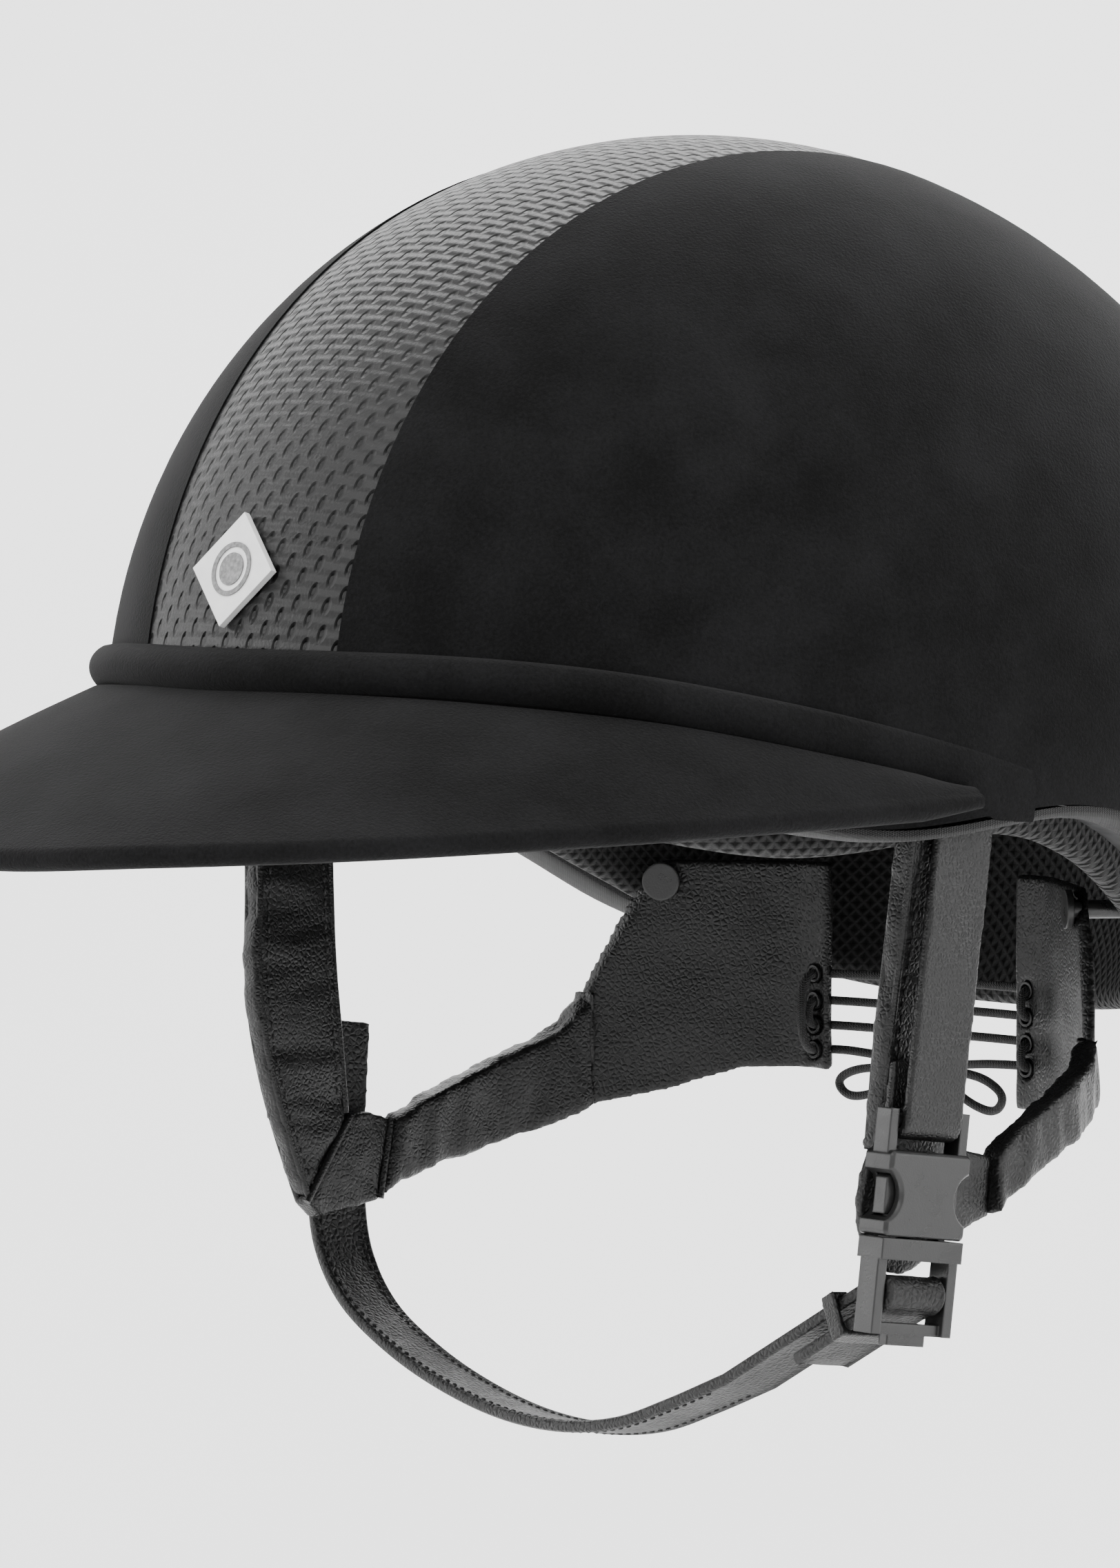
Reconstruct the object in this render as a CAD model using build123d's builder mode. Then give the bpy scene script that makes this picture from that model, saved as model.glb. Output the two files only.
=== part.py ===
from build123d import *
from build123d import SkipClean
import math
import os

# Riding helmet, millimetres. Origin: centre of the head opening at brim level.
# +Z up, -Y to the front (peak), +X to the wearer's left (buckle side).

# ---- driving dimensions -------------------------------------------------
HALF_WIDTH = 114.0            # dome, outside the cover
HALF_LENGTH = 146.2           # dome, along its tilted long axis
HALF_HEIGHT = 132.2
DOME_TILT = 20.4              # the long axis drops towards the nape

COVER_T = 1.2                 # suede cover
SHELL_T = 2.6
GLUE_GAP = 0.1                # between neighbouring layers
MESH_DROP = 0.4               # the mesh lies a little below the suede
STRIP_HALF = 28.5             # centre mesh strip

LINER_IN = (92.0, 118.0, 107.0)     # inner semi-axes of the foam liner
FOAM_T = 7.5                        # headband foam
KNIT_T = 1.0                        # knitted headband cover

RIM_DROP_BINDING = 3.0        # binding below the shell edge
RIM_DROP_BAND = 7.0           # headband reaches this far below the rim
BAND_RISE = 36.0              # and this far above it

ROLL_T = 4.5                  # suede roll above the peak
PEAK_CORE_T = 2.2
PEAK_COVER_T = 1.3

STRAP_T = 5.0                 # padded harness strap
WEB_W = 15.0                  # leather-covered webbing
WEB_T = 2.0

BUCKLE_W = 21.6               # side-release buckle for 15 mm webbing
BUCKLE_T = 8.0
BAR_R = 1.6                   # bars that the webbing is looped on
PRONG_PIVOT = (6.5, -1.3)     # across and along the buckle, from its mouth

LACE_D = 2.0
LACE_ROWS = (-50.0, -56.0, -61.5, -67.0)
FLAP_END = 28.5               # half the gap between the nape flaps
FLAP_Y = 60.0                 # the laced edges' distance behind the origin
FLAP_T = 2.6
EYELET_X = FLAP_END + 3.6
EYELET_BORE = 1.35
EYELET_R = 1.9
EYELET_FLANGE_R = 2.6
ARM_T = 6.0                   # padded rear arm
STUD_AT = (63.0, 42.0, -30.0)    # joins flap, headband and liner, on the left
STUD_DIR = (0.6, 0.8, 0.0)
STUD_R = 2.0
STUD_HEAD_R = 4.2

RIVET_AT = (-38.0, 12.0)      # harness rivets, in side view
RIVET_R = 2.2
RIVET_HEAD_R = 4.5
RIVET_HEAD_T = 0.9
RIVET_SINK = 0.9              # head below the shell's outside
RIVET_FIT = 0.06

RUN_GAP = 0.4                 # room round what moves
FAR = 200.0                   # larger than anything to be cut

# Side view of the shell's lower edge, (Y, Z) from front to nape.
RIM = [(-165, 6), (-110, 3), (-60, -7), (-15, -3.5), (11, -9),
       (38, -23), (61, -37), (90, -49), (125, -54), (165, -55)]

# Side view of the suede roll, (Y, Z): top edge, and the groove over the peak.
ROLL_TOP = [(-160, 27), (-138, 28.5), (-110, 25.5), (-77, 18.2), (-42, 9), (-24, 3.5)]
ROLL_GROOVE = [(-160, 18.6), (-135, 19.4), (-108, 15.6), (-75, 7.4), (-46, 0.6)]

SIDES = {"left": 1, "right": -1}

os.makedirs("parts", exist_ok=True)


def keep(shape, name):
    """Write a piece that was cut from the curved dome layers, exactly as it was cut."""
    with BuildPart() as piece:
        add(shape, clean=False)
    save(piece, name)


def in_halves(shape):
    """The same piece with its faces parted at X = 0, so that no face holds both ends of the dome."""
    left = shape & slab(0, FAR, -FAR, FAR, -FAR, FAR)
    right = shape & slab(-FAR, 0, -FAR, FAR, -FAR, FAR)
    with SkipClean():
        return left.fuse(right)


def save(builder, name):
    """Label a finished piece and write its STEP file."""
    builder.part.label = name
    export_step(builder.part, f"parts/{name}.step")


# ---- shared construction shapes ----------------------------------------
def ellipsoid(semi_axes):
    """Solid ellipsoid in the dome's tilted frame, its seam underneath and its poles at the sides."""
    return Rot(X=-DOME_TILT) * scale(Rot(Y=90) * Sphere(1), by=semi_axes)


def dome(inset):
    """Dome solid, inset from the outside of the cover."""
    return ellipsoid((HALF_WIDTH - inset, HALF_LENGTH - inset, HALF_HEIGHT - inset))


def grown_liner(growth):
    """The liner's inner surface, grown (or shrunk) by an amount."""
    return ellipsoid(tuple(axis + growth for axis in LINER_IN))


def above_rim(drop=0.0):
    """Everything above the rim line, lowered by drop."""
    points = [(y, z - drop) for y, z in RIM]
    with BuildPart() as region:
        with BuildSketch(Plane.YZ):
            with BuildLine():
                edge = Spline(*points)
                Polyline(edge @ 1, (points[-1][0], FAR), (points[0][0], FAR), edge @ 0)
            make_face()
        extrude(amount=FAR, both=True)
    return region.part


RIM_REGION = above_rim()
BINDING_REGION = above_rim(RIM_DROP_BINDING)


def side_band(top, bottom):
    """Prism between two side-view curves that run from front to back."""
    with BuildPart() as band:
        with BuildSketch(Plane.YZ):
            with BuildLine():
                upper = Spline(*top)
                lower = Spline(*bottom)
                Line(upper @ 0, lower @ 0)
                Line(upper @ 1, lower @ 1)
            make_face()
        extrude(amount=FAR, both=True)
    return band.part


def surface_frame(y, z, inset=0.0):
    """Plane on the dome at X = 0, facing out, for a point near (y, z)."""
    tilt = math.radians(DOME_TILT)
    long_axis = HALF_LENGTH - inset
    short_axis = HALF_HEIGHT - inset
    u = y * math.cos(tilt) - z * math.sin(tilt)
    v = y * math.sin(tilt) + z * math.cos(tilt)
    reach = math.hypot(u / long_axis, v / short_axis)
    u, v = u / reach, v / reach
    nu, nv = u / long_axis ** 2, v / short_axis ** 2
    point = (0, u * math.cos(tilt) + v * math.sin(tilt), -u * math.sin(tilt) + v * math.cos(tilt))
    normal = (0, nu * math.cos(tilt) + nv * math.sin(tilt), -nu * math.sin(tilt) + nv * math.cos(tilt))
    return Plane(origin=point, x_dir=(1, 0, 0), z_dir=normal)


def slab(x0, x1, y0, y1, z0, z1):
    """Plain box by its corners, for cutting."""
    return Pos((x0 + x1) / 2, (y0 + y1) / 2, (z0 + z1) / 2) * Box(x1 - x0, y1 - y0, z1 - z0)


# ---- planes of the harness ---------------------------------------------
YAW = math.radians(4.6)       # the buckle faces a little forward
LEAN = math.radians(7.5)      # and its lower end hangs forward
OUTWARD = Vector(math.cos(YAW), -math.sin(YAW), 0)
WIDTHWISE = OUTWARD.cross(Vector(0, math.sin(LEAN), math.cos(LEAN))).normalized()
MOUTH = (96.0, -44.3, -90.0)  # middle of the socket's mouth
BUCKLE = Plane(origin=MOUTH, x_dir=OUTWARD, z_dir=WIDTHWISE)
BUCKLE_FACE = Plane(origin=MOUTH, x_dir=WIDTHWISE * -1, z_dir=OUTWARD)

HINGE = (-191.0, 7.0)         # where the strap leaves the right junction, in the buckle's plane
STRAP_CURVE = [HINGE, (-189, -6), (-184, -19), (-173, -30), (-155, -38.5), (-135, -44.5), (-115, -48),
               (-96, -48.5), (-78, -46), (-62, -40.5), (-46, -34.1)]

SLEEVE_X = {"left": 95.5, "right": 97.0}      # at brim level
SLEEVE_SLOPE = {"left": 0.125, "right": 0.09}
SLEEVE_Z = -7.0


def sleeve_plane(side):
    """Plane of a front strap: local x is Y (mirrored on the right), local y goes up the strap."""
    sign = SIDES[side]
    slope = SLEEVE_SLOPE[side]
    return Plane(origin=(sign * SLEEVE_X[side], 0, SLEEVE_Z), x_dir=(0, sign, 0),
                 z_dir=(sign, 0, -slope))




def layer(outer, inner, region):
    """Shell between two closed solids, kept where the region is."""
    return (outer & region) - inner


# ---- dome ---------------------------------------------------------------
SLOT = {"x": (90.5, 104.0), "y": (-56.0, -22.0), "z": (-12.0, 25.0)}   # for the front straps


def vent_cuts():
    """Slots through shell and liner under the mesh strip."""
    with BuildPart() as cuts:
        for y in (-62, -8, 46):
            with BuildSketch(Plane.XY.offset(60)):
                with Locations((-15, y), (15, y)):
                    SlotOverall(34, 8, rotation=90)
            extrude(amount=100)
    return cuts.part


def strap_slots():
    """Pockets in the liner for the front straps and their rivets."""
    with BuildPart() as slots:
        for sign in SIDES.values():
            x0, x1 = sorted((sign * SLOT["x"][0], sign * SLOT["x"][1]))
            add(slab(x0, x1, *SLOT["y"], *SLOT["z"]))
            with BuildSketch(Plane.YZ.offset(sign * SLOT["x"][0])):
                with Locations(RIVET_AT):
                    Circle(RIVET_HEAD_R + 0.5)
            extrude(amount=sign * 30)
    return slots.part




def shell_x(y, z):
    """Half-width of the shell's outside at a side-view point."""
    inset = COVER_T + GLUE_GAP
    tilt = math.radians(DOME_TILT)
    u = y * math.cos(tilt) - z * math.sin(tilt)
    v = y * math.sin(tilt) + z * math.cos(tilt)
    rest = 1 - (u / (HALF_LENGTH - inset)) ** 2 - (v / (HALF_HEIGHT - inset)) ** 2
    return (HALF_WIDTH - inset) * math.sqrt(rest)


def rivet_cut(sign, from_x):
    """Hole and counterbore for one harness rivet."""
    head_x = shell_x(*RIVET_AT) - RIVET_HEAD_T - RIVET_SINK
    with BuildPart() as cut:
        with BuildSketch(Plane.YZ.offset(sign * from_x)):
            with Locations(RIVET_AT):
                Circle(RIVET_R + RIVET_FIT)
        extrude(amount=sign * 40)
        with BuildSketch(Plane.YZ.offset(sign * head_x)):
            with Locations(RIVET_AT):
                Circle(RIVET_HEAD_R + RIVET_FIT)
        extrude(amount=sign * 10)
    return cut.part


def build_shell_and_liner():
    outer = COVER_T + GLUE_GAP
    vents = vent_cuts()
    shell = layer(dome(outer), dome(outer + SHELL_T), RIM_REGION) - vents
    for sign in SIDES.values():
        shell = shell - rivet_cut(sign, SLOT["x"][0])
    keep(in_halves(shell), "outer_shell")
    foam = layer(dome(outer + SHELL_T + GLUE_GAP), grown_liner(0), RIM_REGION)
    keep(in_halves(foam - vents - strap_slots() - stud_holes()), "impact_liner")


def build_covers():
    """Suede side panels and the mesh strip between them."""
    skin = layer(dome(0), dome(COVER_T), RIM_REGION)
    for side, sign in SIDES.items():
        x0, x1 = sorted((sign * (STRIP_HALF + GLUE_GAP), sign * FAR))
        keep(skin & slab(x0, x1, -FAR, FAR, -FAR, FAR), f"{side}_cover_panel")
    strip = slab(-STRIP_HALF, STRIP_HALF, -FAR, FAR, -FAR, FAR)
    keep(layer(dome(MESH_DROP), dome(COVER_T), RIM_REGION) & strip, "centre_mesh_panel")


def build_roll():
    """Suede roll over the peak; its ends turn down round the peak's tips to the rim."""
    low = ROLL_GROOVE + [(-39.5, -3.0), (-36.5, -9.0)]
    tail_end = [(-24, 3.5), (-21, -1), (-22, -9)]
    with BuildPart() as region:
        with BuildSketch(Plane.YZ):
            with BuildLine():
                top = Spline(*ROLL_TOP)
                bottom = Spline(*low)
                back = Spline(*tail_end)
                Line(top @ 0, bottom @ 0)
                Line(bottom @ 1, back @ 1)
            make_face()
        extrude(amount=FAR, both=True)
    roll = layer(dome(-ROLL_T), dome(-GLUE_GAP), region.part & RIM_REGION)
    keep(roll, "brim_band")
    return roll


def build_binding():
    """Bound edge under the shell, cut away where the front straps pass inside it."""
    binding = layer(dome(0), grown_liner(10), BINDING_REGION - above_rim(GLUE_GAP))
    keep(binding - strap_slots(), "rim_binding")


# ---- inside of the helmet ----------------------------------------------
def build_headband():
    zone = above_rim(RIM_DROP_BAND) - above_rim(-BAND_RISE)
    layers = {
        "headband_foam": (-GLUE_GAP, -FOAM_T),
        "headband_cover": (-FOAM_T - GLUE_GAP, -FOAM_T - GLUE_GAP - KNIT_T),
    }
    for name, (outer, inner) in layers.items():
        ring = layer(grown_liner(outer), grown_liner(inner), zone) - stud_holes()
        keep(in_halves(ring), name)


def build_crown_pad():
    with BuildPart() as column:
        with BuildSketch(Plane.XY.offset(40)):
            with Locations((0, 8)):
                Ellipse(38, 52)
        extrude(amount=80)
    keep(layer(grown_liner(-GLUE_GAP), grown_liner(-6), column.part), "crown_pad")


# ---- badge --------------------------------------------------------------
def build_badge():
    """Diamond plate on the mesh strip, with a plain ringed disc on it."""
    seat = surface_frame(-140.8, 44.3, MESH_DROP).offset(0.2)
    plate_t = 1.4
    with BuildPart() as badge_plate:
        with BuildSketch(seat):
            Rectangle(16.8, 16.8, rotation=45)
        extrude(amount=plate_t)
    save(badge_plate, "badge_plate")
    with BuildPart() as badge_emblem:
        with BuildSketch(seat.offset(plate_t)):
            Circle(5.6)
            Circle(4.6, mode=Mode.SUBTRACT)
            Circle(3.4)
        extrude(amount=0.3)
    save(badge_emblem, "badge_emblem")


# ---- peak ---------------------------------------------------------------
# Right-hand half of two lines, (X, Y, Z): where the peak meets the dome, and its free edge.
PEAK_ROOT = [(0, -146, 19), (30, -141, 19), (58, -127, 17.5), (84, -101, 13.5), (102, -70, 6.5),
             (109, -42, 0.0)]
PEAK_EDGE = [(0, -207, -10.5), (42, -199, -8.5), (78, -172, -6.5), (102, -127, -4.4),
             (112, -80, -2.7), (115, -44, -1.0)]


def mirrored_curve(half):
    """Spline through a list of points on one side and their mirror images."""
    other = [(-x, y, z) for x, y, z in reversed(half[1:])]
    return Spline(*other, *half)


def build_peak(roll):
    """Board, suede top and lining; the suede ends where it meets the roll."""
    root = mirrored_curve(PEAK_ROOT)
    edge = mirrored_curve(PEAK_EDGE)
    top = Face.make_surface_from_curves(root, edge)
    if top.normal_at().Z < 0:
        top = -top
    clearance = dome(-2 * GLUE_GAP)
    core = thicken(top, amount=-PEAK_CORE_T)
    underside = core.faces().sort_by(SortBy.AREA)[-2:].sort_by(Axis.Z)[0]
    cover = thicken(top, amount=PEAK_COVER_T)
    lining = thicken(underside, amount=PEAK_COVER_T)
    for name, solid in (("peak_core", core), ("peak_cover", cover), ("peak_lining", lining)):
        keep(solid - clearance - roll, name)


# ---- harness straps -----------------------------------------------------
# Outlines of the padded front straps in their own planes, as (Y, Z) side views.
SLEEVE_FRONT = {"left": [(-47, 18), (-46, -7), (-46.5, -30), (-47.5, -52), (-47, -73)],
                "right": [(-50, 18), (-51, -7), (-51.8, -26), (-54.3, -46), (-53.7, -61),
                          (-50, -79), (-43.5, -97)]}
SLEEVE_REAR = {"left": [(-25, 18), (-24.5, -7), (-24.8, -30), (-25.2, -52), (-25, -73)],
               "right": [(-28, 18), (-28.5, -7), (-29.6, -26), (-30.5, -46), (-29.8, -62), (-29.5, -79)]}
JUNCTION = {"left": [(-47.2, -73.4), (-24.8, -73.4), (-13.5, -76.5), (-12.5, -88.5), (-28, -94), (-43, -92)],
            "right": [(-43.7, -97.5), (-29.3, -79.6), (-24, -79), (-17.4, -81), (-22.4, -98.5), (-39.6, -101.2)]}
JUNCTION_T = {"left": 4.6, "right": 5.0}

# Rear arms and nape flaps: plan of the wall they follow, and their side views.
WALL_PLAN = [(88, -24), (88, -11), (85.5, 11), (77, 29), (63, 42), (46, 54), (FLAP_END, FLAP_Y)]
ARM_TOP = {"left": [(-13.2, -76.6), (2.5, -67.5), (19, -61), (30, -56)],
           "right": [(-17.1, -80.5), (0, -73.5), (12, -69), (21, -65), (30, -55)]}
ARM_BOTTOM = {"left": [(-12.2, -88.4), (2.5, -79.8), (19, -74), (30, -69.5)],
              "right": [(-22, -98.2), (0, -90.5), (12, -88), (21, -85), (30, -80.5)]}
FLAP_OUTLINE = {"left": [(30.2, -55.8), (36, -40), (42, -25), (66, -25), (66, -78), (52, -74), (42, -70),
                         (30.2, -69.4)],
                "right": [(30.2, -54.8), (36, -40), (42, -25), (66, -25), (66, -71), (52, -71.5), (42, -77),
                          (30.2, -80.4)]}


def wall(side, thickness):
    """Upright wall along the rear arms' plan on one side."""
    sign = SIDES[side]
    points = [(sign * x, y) for x, y in WALL_PLAN]
    with BuildPart() as upright:
        with BuildSketch(Plane.XY.offset(-110)):
            with BuildLine():
                Spline(*points, tangents=((0, 1), (-sign, 0)))
            trace(line_width=thickness)
        extrude(amount=100)
    return upright.part


def in_sleeve(side, points):
    """Side-view (Y, Z) points in the coordinates of a front strap's plane."""
    sign = SIDES[side]
    stretch = math.hypot(1, SLEEVE_SLOPE[side])
    return [(sign * y, (z - SLEEVE_Z) * stretch) for y, z in points]


def build_sleeves(facing):
    """Padded front straps and the joints below them, shaped to the parts that lie against them."""
    with BuildPart() as chin_strap_room:
        with BuildSketch(BUCKLE):
            with BuildLine():
                Spline(*STRAP_CURVE[:5])
            trace(line_width=WEB_T + 2 * RUN_GAP)
            with Locations(HINGE):
                Circle(WEB_T / 2 + RUN_GAP)
        extrude(amount=WEB_W / 2 + RUN_GAP, both=True)
    for side in SIDES:
        plane = sleeve_plane(side)
        with BuildPart() as sleeve:
            with BuildSketch(plane):
                with BuildLine():
                    front = Spline(*in_sleeve(side, SLEEVE_FRONT[side]))
                    rear = Spline(*in_sleeve(side, SLEEVE_REAR[side]))
                    Line(front @ 0, rear @ 0)
                    Line(front @ 1, rear @ 1)
                make_face()
            extrude(amount=STRAP_T / 2, both=True)
            with BuildSketch(Plane.YZ):
                with Locations(RIVET_AT):
                    Circle(RIVET_R + RIVET_FIT)
            extrude(amount=FAR, both=True, mode=Mode.SUBTRACT)
        keep(sleeve.part - facing, f"{side}_front_strap")
        with BuildPart() as junction:
            with BuildSketch(plane):
                with BuildLine():
                    Polyline(*in_sleeve(side, JUNCTION[side]), close=True)
                make_face()
            extrude(amount=JUNCTION_T[side] / 2, both=True)
        keep(junction.part - chin_strap_room.part, f"{side}_junction")


def stud_plane(side):
    sign = SIDES[side]
    x, y, z = STUD_AT
    dx, dy, dz = STUD_DIR
    return Plane(origin=(sign * x, y, z), x_dir=(0, 0, 1), z_dir=(sign * dx, dy, dz))


def stud_holes():
    """Bores for both flap studs, through flap, headband and liner."""
    with BuildPart() as holes:
        for side in SIDES:
            with BuildSketch(stud_plane(side).offset(-6)):
                Circle(STUD_R + RIVET_FIT)
            extrude(amount=34)
    return holes.part


def build_studs():
    with BuildPart() as flap_studs:
        for side in SIDES:
            plane = stud_plane(side)
            with BuildSketch(plane.offset(-3.4)):
                Circle(STUD_R)
            extrude(amount=31)
            with BuildSketch(plane.offset(-3.4)):
                Circle(STUD_HEAD_R)
            extrude(amount=1.4)
    save(flap_studs, "flap_studs")


def eyelet_places():
    return [(sign * EYELET_X, z) for sign in SIDES.values() for z in LACE_ROWS]


def build_rear_arms():
    with BuildPart() as eyelet_bores:
        with BuildSketch(Plane.XZ.offset(-FLAP_Y - 8)):
            with Locations(*eyelet_places()):
                Circle(EYELET_R + RIVET_FIT)
        extrude(amount=16)
    holes = stud_holes()
    for side in SIDES:
        keep(wall(side, ARM_T) & side_band(ARM_TOP[side], ARM_BOTTOM[side]), f"{side}_rear_strap")
        with BuildPart() as outline:
            with BuildSketch(Plane.YZ):
                with BuildLine():
                    Polyline(*FLAP_OUTLINE[side], close=True)
                make_face()
            extrude(amount=FAR, both=True)
        keep((wall(side, FLAP_T) & outline.part) - eyelet_bores.part - holes, f"{side}_nape_flap")
    with BuildPart() as lace_eyelets:
        face_y = FLAP_Y + FLAP_T / 2
        with BuildSketch(Plane.XZ.offset(-face_y - 0.5)):
            with Locations(*eyelet_places()):
                Circle(EYELET_FLANGE_R)
        extrude(amount=0.5)
        with BuildSketch(Plane.XZ.offset(-face_y)):
            with Locations(*eyelet_places()):
                Circle(EYELET_R)
        extrude(amount=FLAP_T + 0.4)
        with BuildSketch(Plane.XZ.offset(-FLAP_Y - 8)):
            with Locations(*eyelet_places()):
                Circle(EYELET_BORE)
        extrude(amount=16, mode=Mode.SUBTRACT)
    save(lace_eyelets, "lace_eyelets")


# ---- lacing -------------------------------------------------------------
LACE_OUT = FLAP_Y + 3.2
LACE_IN = FLAP_Y - 3.1
LACE_BACK = FLAP_Y - 5.4
LEAD = 6.0                    # stretch of the lace beyond its last eyelets


def lace_route():
    """Ladder lacing: rungs outside, short runs up the inside, both ends out at the bottom row."""
    z1, z2, z3, z4 = LACE_ROWS
    e = EYELET_X
    return [
        (e - LEAD, LACE_OUT, z4), (e, LACE_OUT, z4), (e, LACE_IN, z4), (e, LACE_IN, z3),
        (e, LACE_OUT, z3), (-e, LACE_OUT, z3), (-e, LACE_IN, z3), (-e, LACE_IN, z2),
        (-e, LACE_OUT, z2), (e, LACE_OUT, z2), (e, LACE_IN, z2), (e, LACE_IN, z1),
        (e, LACE_OUT, z1), (-e, LACE_OUT, z1), (-e, LACE_BACK, z1), (-e, LACE_BACK, z4),
        (-e, LACE_OUT, z4), (LEAD - e, LACE_OUT, z4),
    ]


# Each half of the bow: out of its last eyelet, through the knot, round an ear and down.
KNOT = (-4.0, 66.0, -69.5)
BOW_TO_LEFT = [(LEAD - EYELET_X, LACE_OUT, -67), (-19, 63.6, -67.3), (-11, 65, -68.4), (-3, 66, -69.6),
               (6, 66.4, -70), (13.5, 66.4, -71.2), (18.6, 66.6, -74.6), (15.5, 66.9, -78.6),
               (8.5, 67, -77.2), (2, 66.8, -73.6), (-4.5, 66.4, -71), (-10.2, 66.9, -75.2), (-11, 67, -83),
               (-10, 66.6, -90)]
BOW_TO_RIGHT = [(EYELET_X - LEAD, LACE_OUT, -67), (18, 63.6, -67.2), (9, 64.8, -68), (0, 65.6, -69),
                (-9, 65.9, -70.2), (-18, 65.9, -70.4), (-27, 66, -71.5), (-32.6, 66.2, -74.4),
                (-29, 66.4, -78), (-21, 66.6, -76.6), (-13, 66.8, -73.2), (-5, 67.4, -72.6), (1, 68, -77.4),
                (2.6, 67.6, -85), (2, 67, -92)]


def corner_radii(points, share=0.45):
    """One radius for each corner, as large as its shorter run allows."""
    radii = []
    for before, corner, after in zip(points, points[1:], points[2:]):
        back = Vector(*before) - Vector(*corner)
        on = Vector(*after) - Vector(*corner)
        turn = math.radians(180 - back.get_angle(on))
        radii.append(share * min(back.length, on.length) / math.tan(turn / 2))
    return radii


def tube(points, diameter):
    """Round cord along straight runs joined by tangent arcs."""
    radii = corner_radii(points)
    print("cord radii", [round(r, 1) for r in radii])
    with BuildPart() as cord:
        with BuildLine():
            path = FilletPolyline(*points, radius=radii)
        with BuildSketch(Plane(origin=path @ 0, z_dir=path % 0)):
            Circle(diameter / 2)
        sweep(path=path)
    expected = math.pi * (diameter / 2) ** 2 * path.length
    print("cord length", round(path.length, 1), "volume", round(cord.part.volume / expected, 3))
    return cord


def build_lacing():
    save(tube(lace_route(), LACE_D), "lace")
    save(tube(BOW_TO_LEFT, LACE_D), "bow_left_ear")
    save(tube(BOW_TO_RIGHT, LACE_D), "bow_right_ear")
    with BuildPart() as bow_knot:
        with BuildSketch(Plane.XY.offset(KNOT[2] - 3)):
            with Locations((KNOT[0], KNOT[1])):
                RectangleRounded(6.4, 5.6, 2)
        extrude(amount=5.4)
        fillet(bow_knot.edges(), 1.2)
    save(bow_knot, "bow_knot")
    with BuildPart() as lace_tips:
        for route in (BOW_TO_LEFT, BOW_TO_RIGHT):
            run = Vector(*route[-1]) - Vector(*route[-2])
            with BuildSketch(Plane(origin=route[-1], z_dir=run)):
                Circle(LACE_D / 2)
            extrude(amount=7, taper=3)
    save(lace_tips, "lace_tips")


# ---- near side: strap facing, guard pad, buckle ---------------------------
LOOP_Y = 23.2                 # web bar of the socket, above its mouth
LOOP_R = BAR_R + 0.15 + WEB_T / 2
FACING_TOP = 106.0
WEB_X_TOP = 3.9               # the strap leans out a little towards its top


def build_facing():
    """Flat leather strip from the shell, turned up round the socket's bar and stitched."""
    with BuildPart() as left_strap_facing:
        with BuildSketch(BUCKLE):
            with BuildLine():
                down = Line((WEB_X_TOP, FACING_TOP), (LOOP_R, LOOP_Y))
                turn = CenterArc((0, LOOP_Y), LOOP_R, 0, -180)
                Line(turn @ 1, (-LOOP_R, LOOP_Y + 12))
            trace(line_width=WEB_T)
        extrude(amount=WEB_W / 2, both=True)
        with BuildSketch(Plane.YZ):
            with Locations(RIVET_AT):
                Circle(RIVET_R + RIVET_FIT)
        extrude(amount=FAR, both=True, mode=Mode.SUBTRACT)
    save(left_strap_facing, "left_strap_facing")
    return left_strap_facing.part


def build_guard_pad(facing, socket):
    """Oval pad between the buckle and the cheek, pressed in by what lies on it."""
    plane = sleeve_plane("left")
    centre_y, centre_z = in_sleeve("left", [(-40, -81.5)])[0]
    with BuildPart() as buckle_guard_pad:
        with BuildSketch(plane.offset(STRAP_T / 2 + GLUE_GAP)):
            with Locations((centre_y, centre_z)):
                Ellipse(13.5, 16.5)
        extrude(amount=2.2)
    keep(buckle_guard_pad.part - facing - socket, "buckle_guard_pad")


SOCKET_H = 17.2
POST_TOP = 25.6
CAVITY_HALF_T = 2.1
RAIL_Y = 3.3
MOUTH_HALF = 8.2
ROOM_HALF = 9.3


def along_face(x0, x1, y0, y1, thickness, centre=0.0):
    """Box in the buckle's frame: x across, y up, thickness through."""
    with BuildPart() as block:
        with BuildSketch(BUCKLE_FACE.offset(centre)):
            with Locations(((x0 + x1) / 2, (y0 + y1) / 2)):
                Rectangle(x1 - x0, y1 - y0)
        extrude(amount=thickness / 2, both=True)
    return block.part


def build_socket():
    half = BUCKLE_W / 2
    with BuildPart() as buckle_socket:
        with BuildSketch(BUCKLE_FACE):
            with Locations((0, SOCKET_H / 2)):
                RectangleRounded(BUCKLE_W, SOCKET_H, 1.2)
            with Locations((-13, 8.2), (13, 8.2)):
                Circle(5.6, mode=Mode.SUBTRACT)
        extrude(amount=BUCKLE_T / 2, both=True)
        chamfer(buckle_socket.faces().sort_by(Axis.X)[-1].outer_wire().edges(), 0.6)
        for x in (-half + 0.2, half - 2.4):
            add(along_face(x, x + 2.2, SOCKET_H - 2, POST_TOP, 4.4))
        with BuildSketch(BUCKLE):
            with Locations((0, LOOP_Y)):
                Circle(BAR_R)
        extrude(amount=half - 0.6, both=True)
        add(along_face(-MOUTH_HALF, MOUTH_HALF, -1, RAIL_Y + 0.1, 2 * CAVITY_HALF_T), mode=Mode.SUBTRACT)
        add(along_face(-ROOM_HALF, ROOM_HALF, RAIL_Y, 14.2, 2 * CAVITY_HALF_T), mode=Mode.SUBTRACT)
    save(buckle_socket, "buckle_socket")
    return buckle_socket.part


PLUG_TOP = -0.3
PLUG_SHOULDER = -4.6
PLUG_END = -19.6
ADJUST_BAR = -11.5
PRONG_T = 3.4


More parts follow.
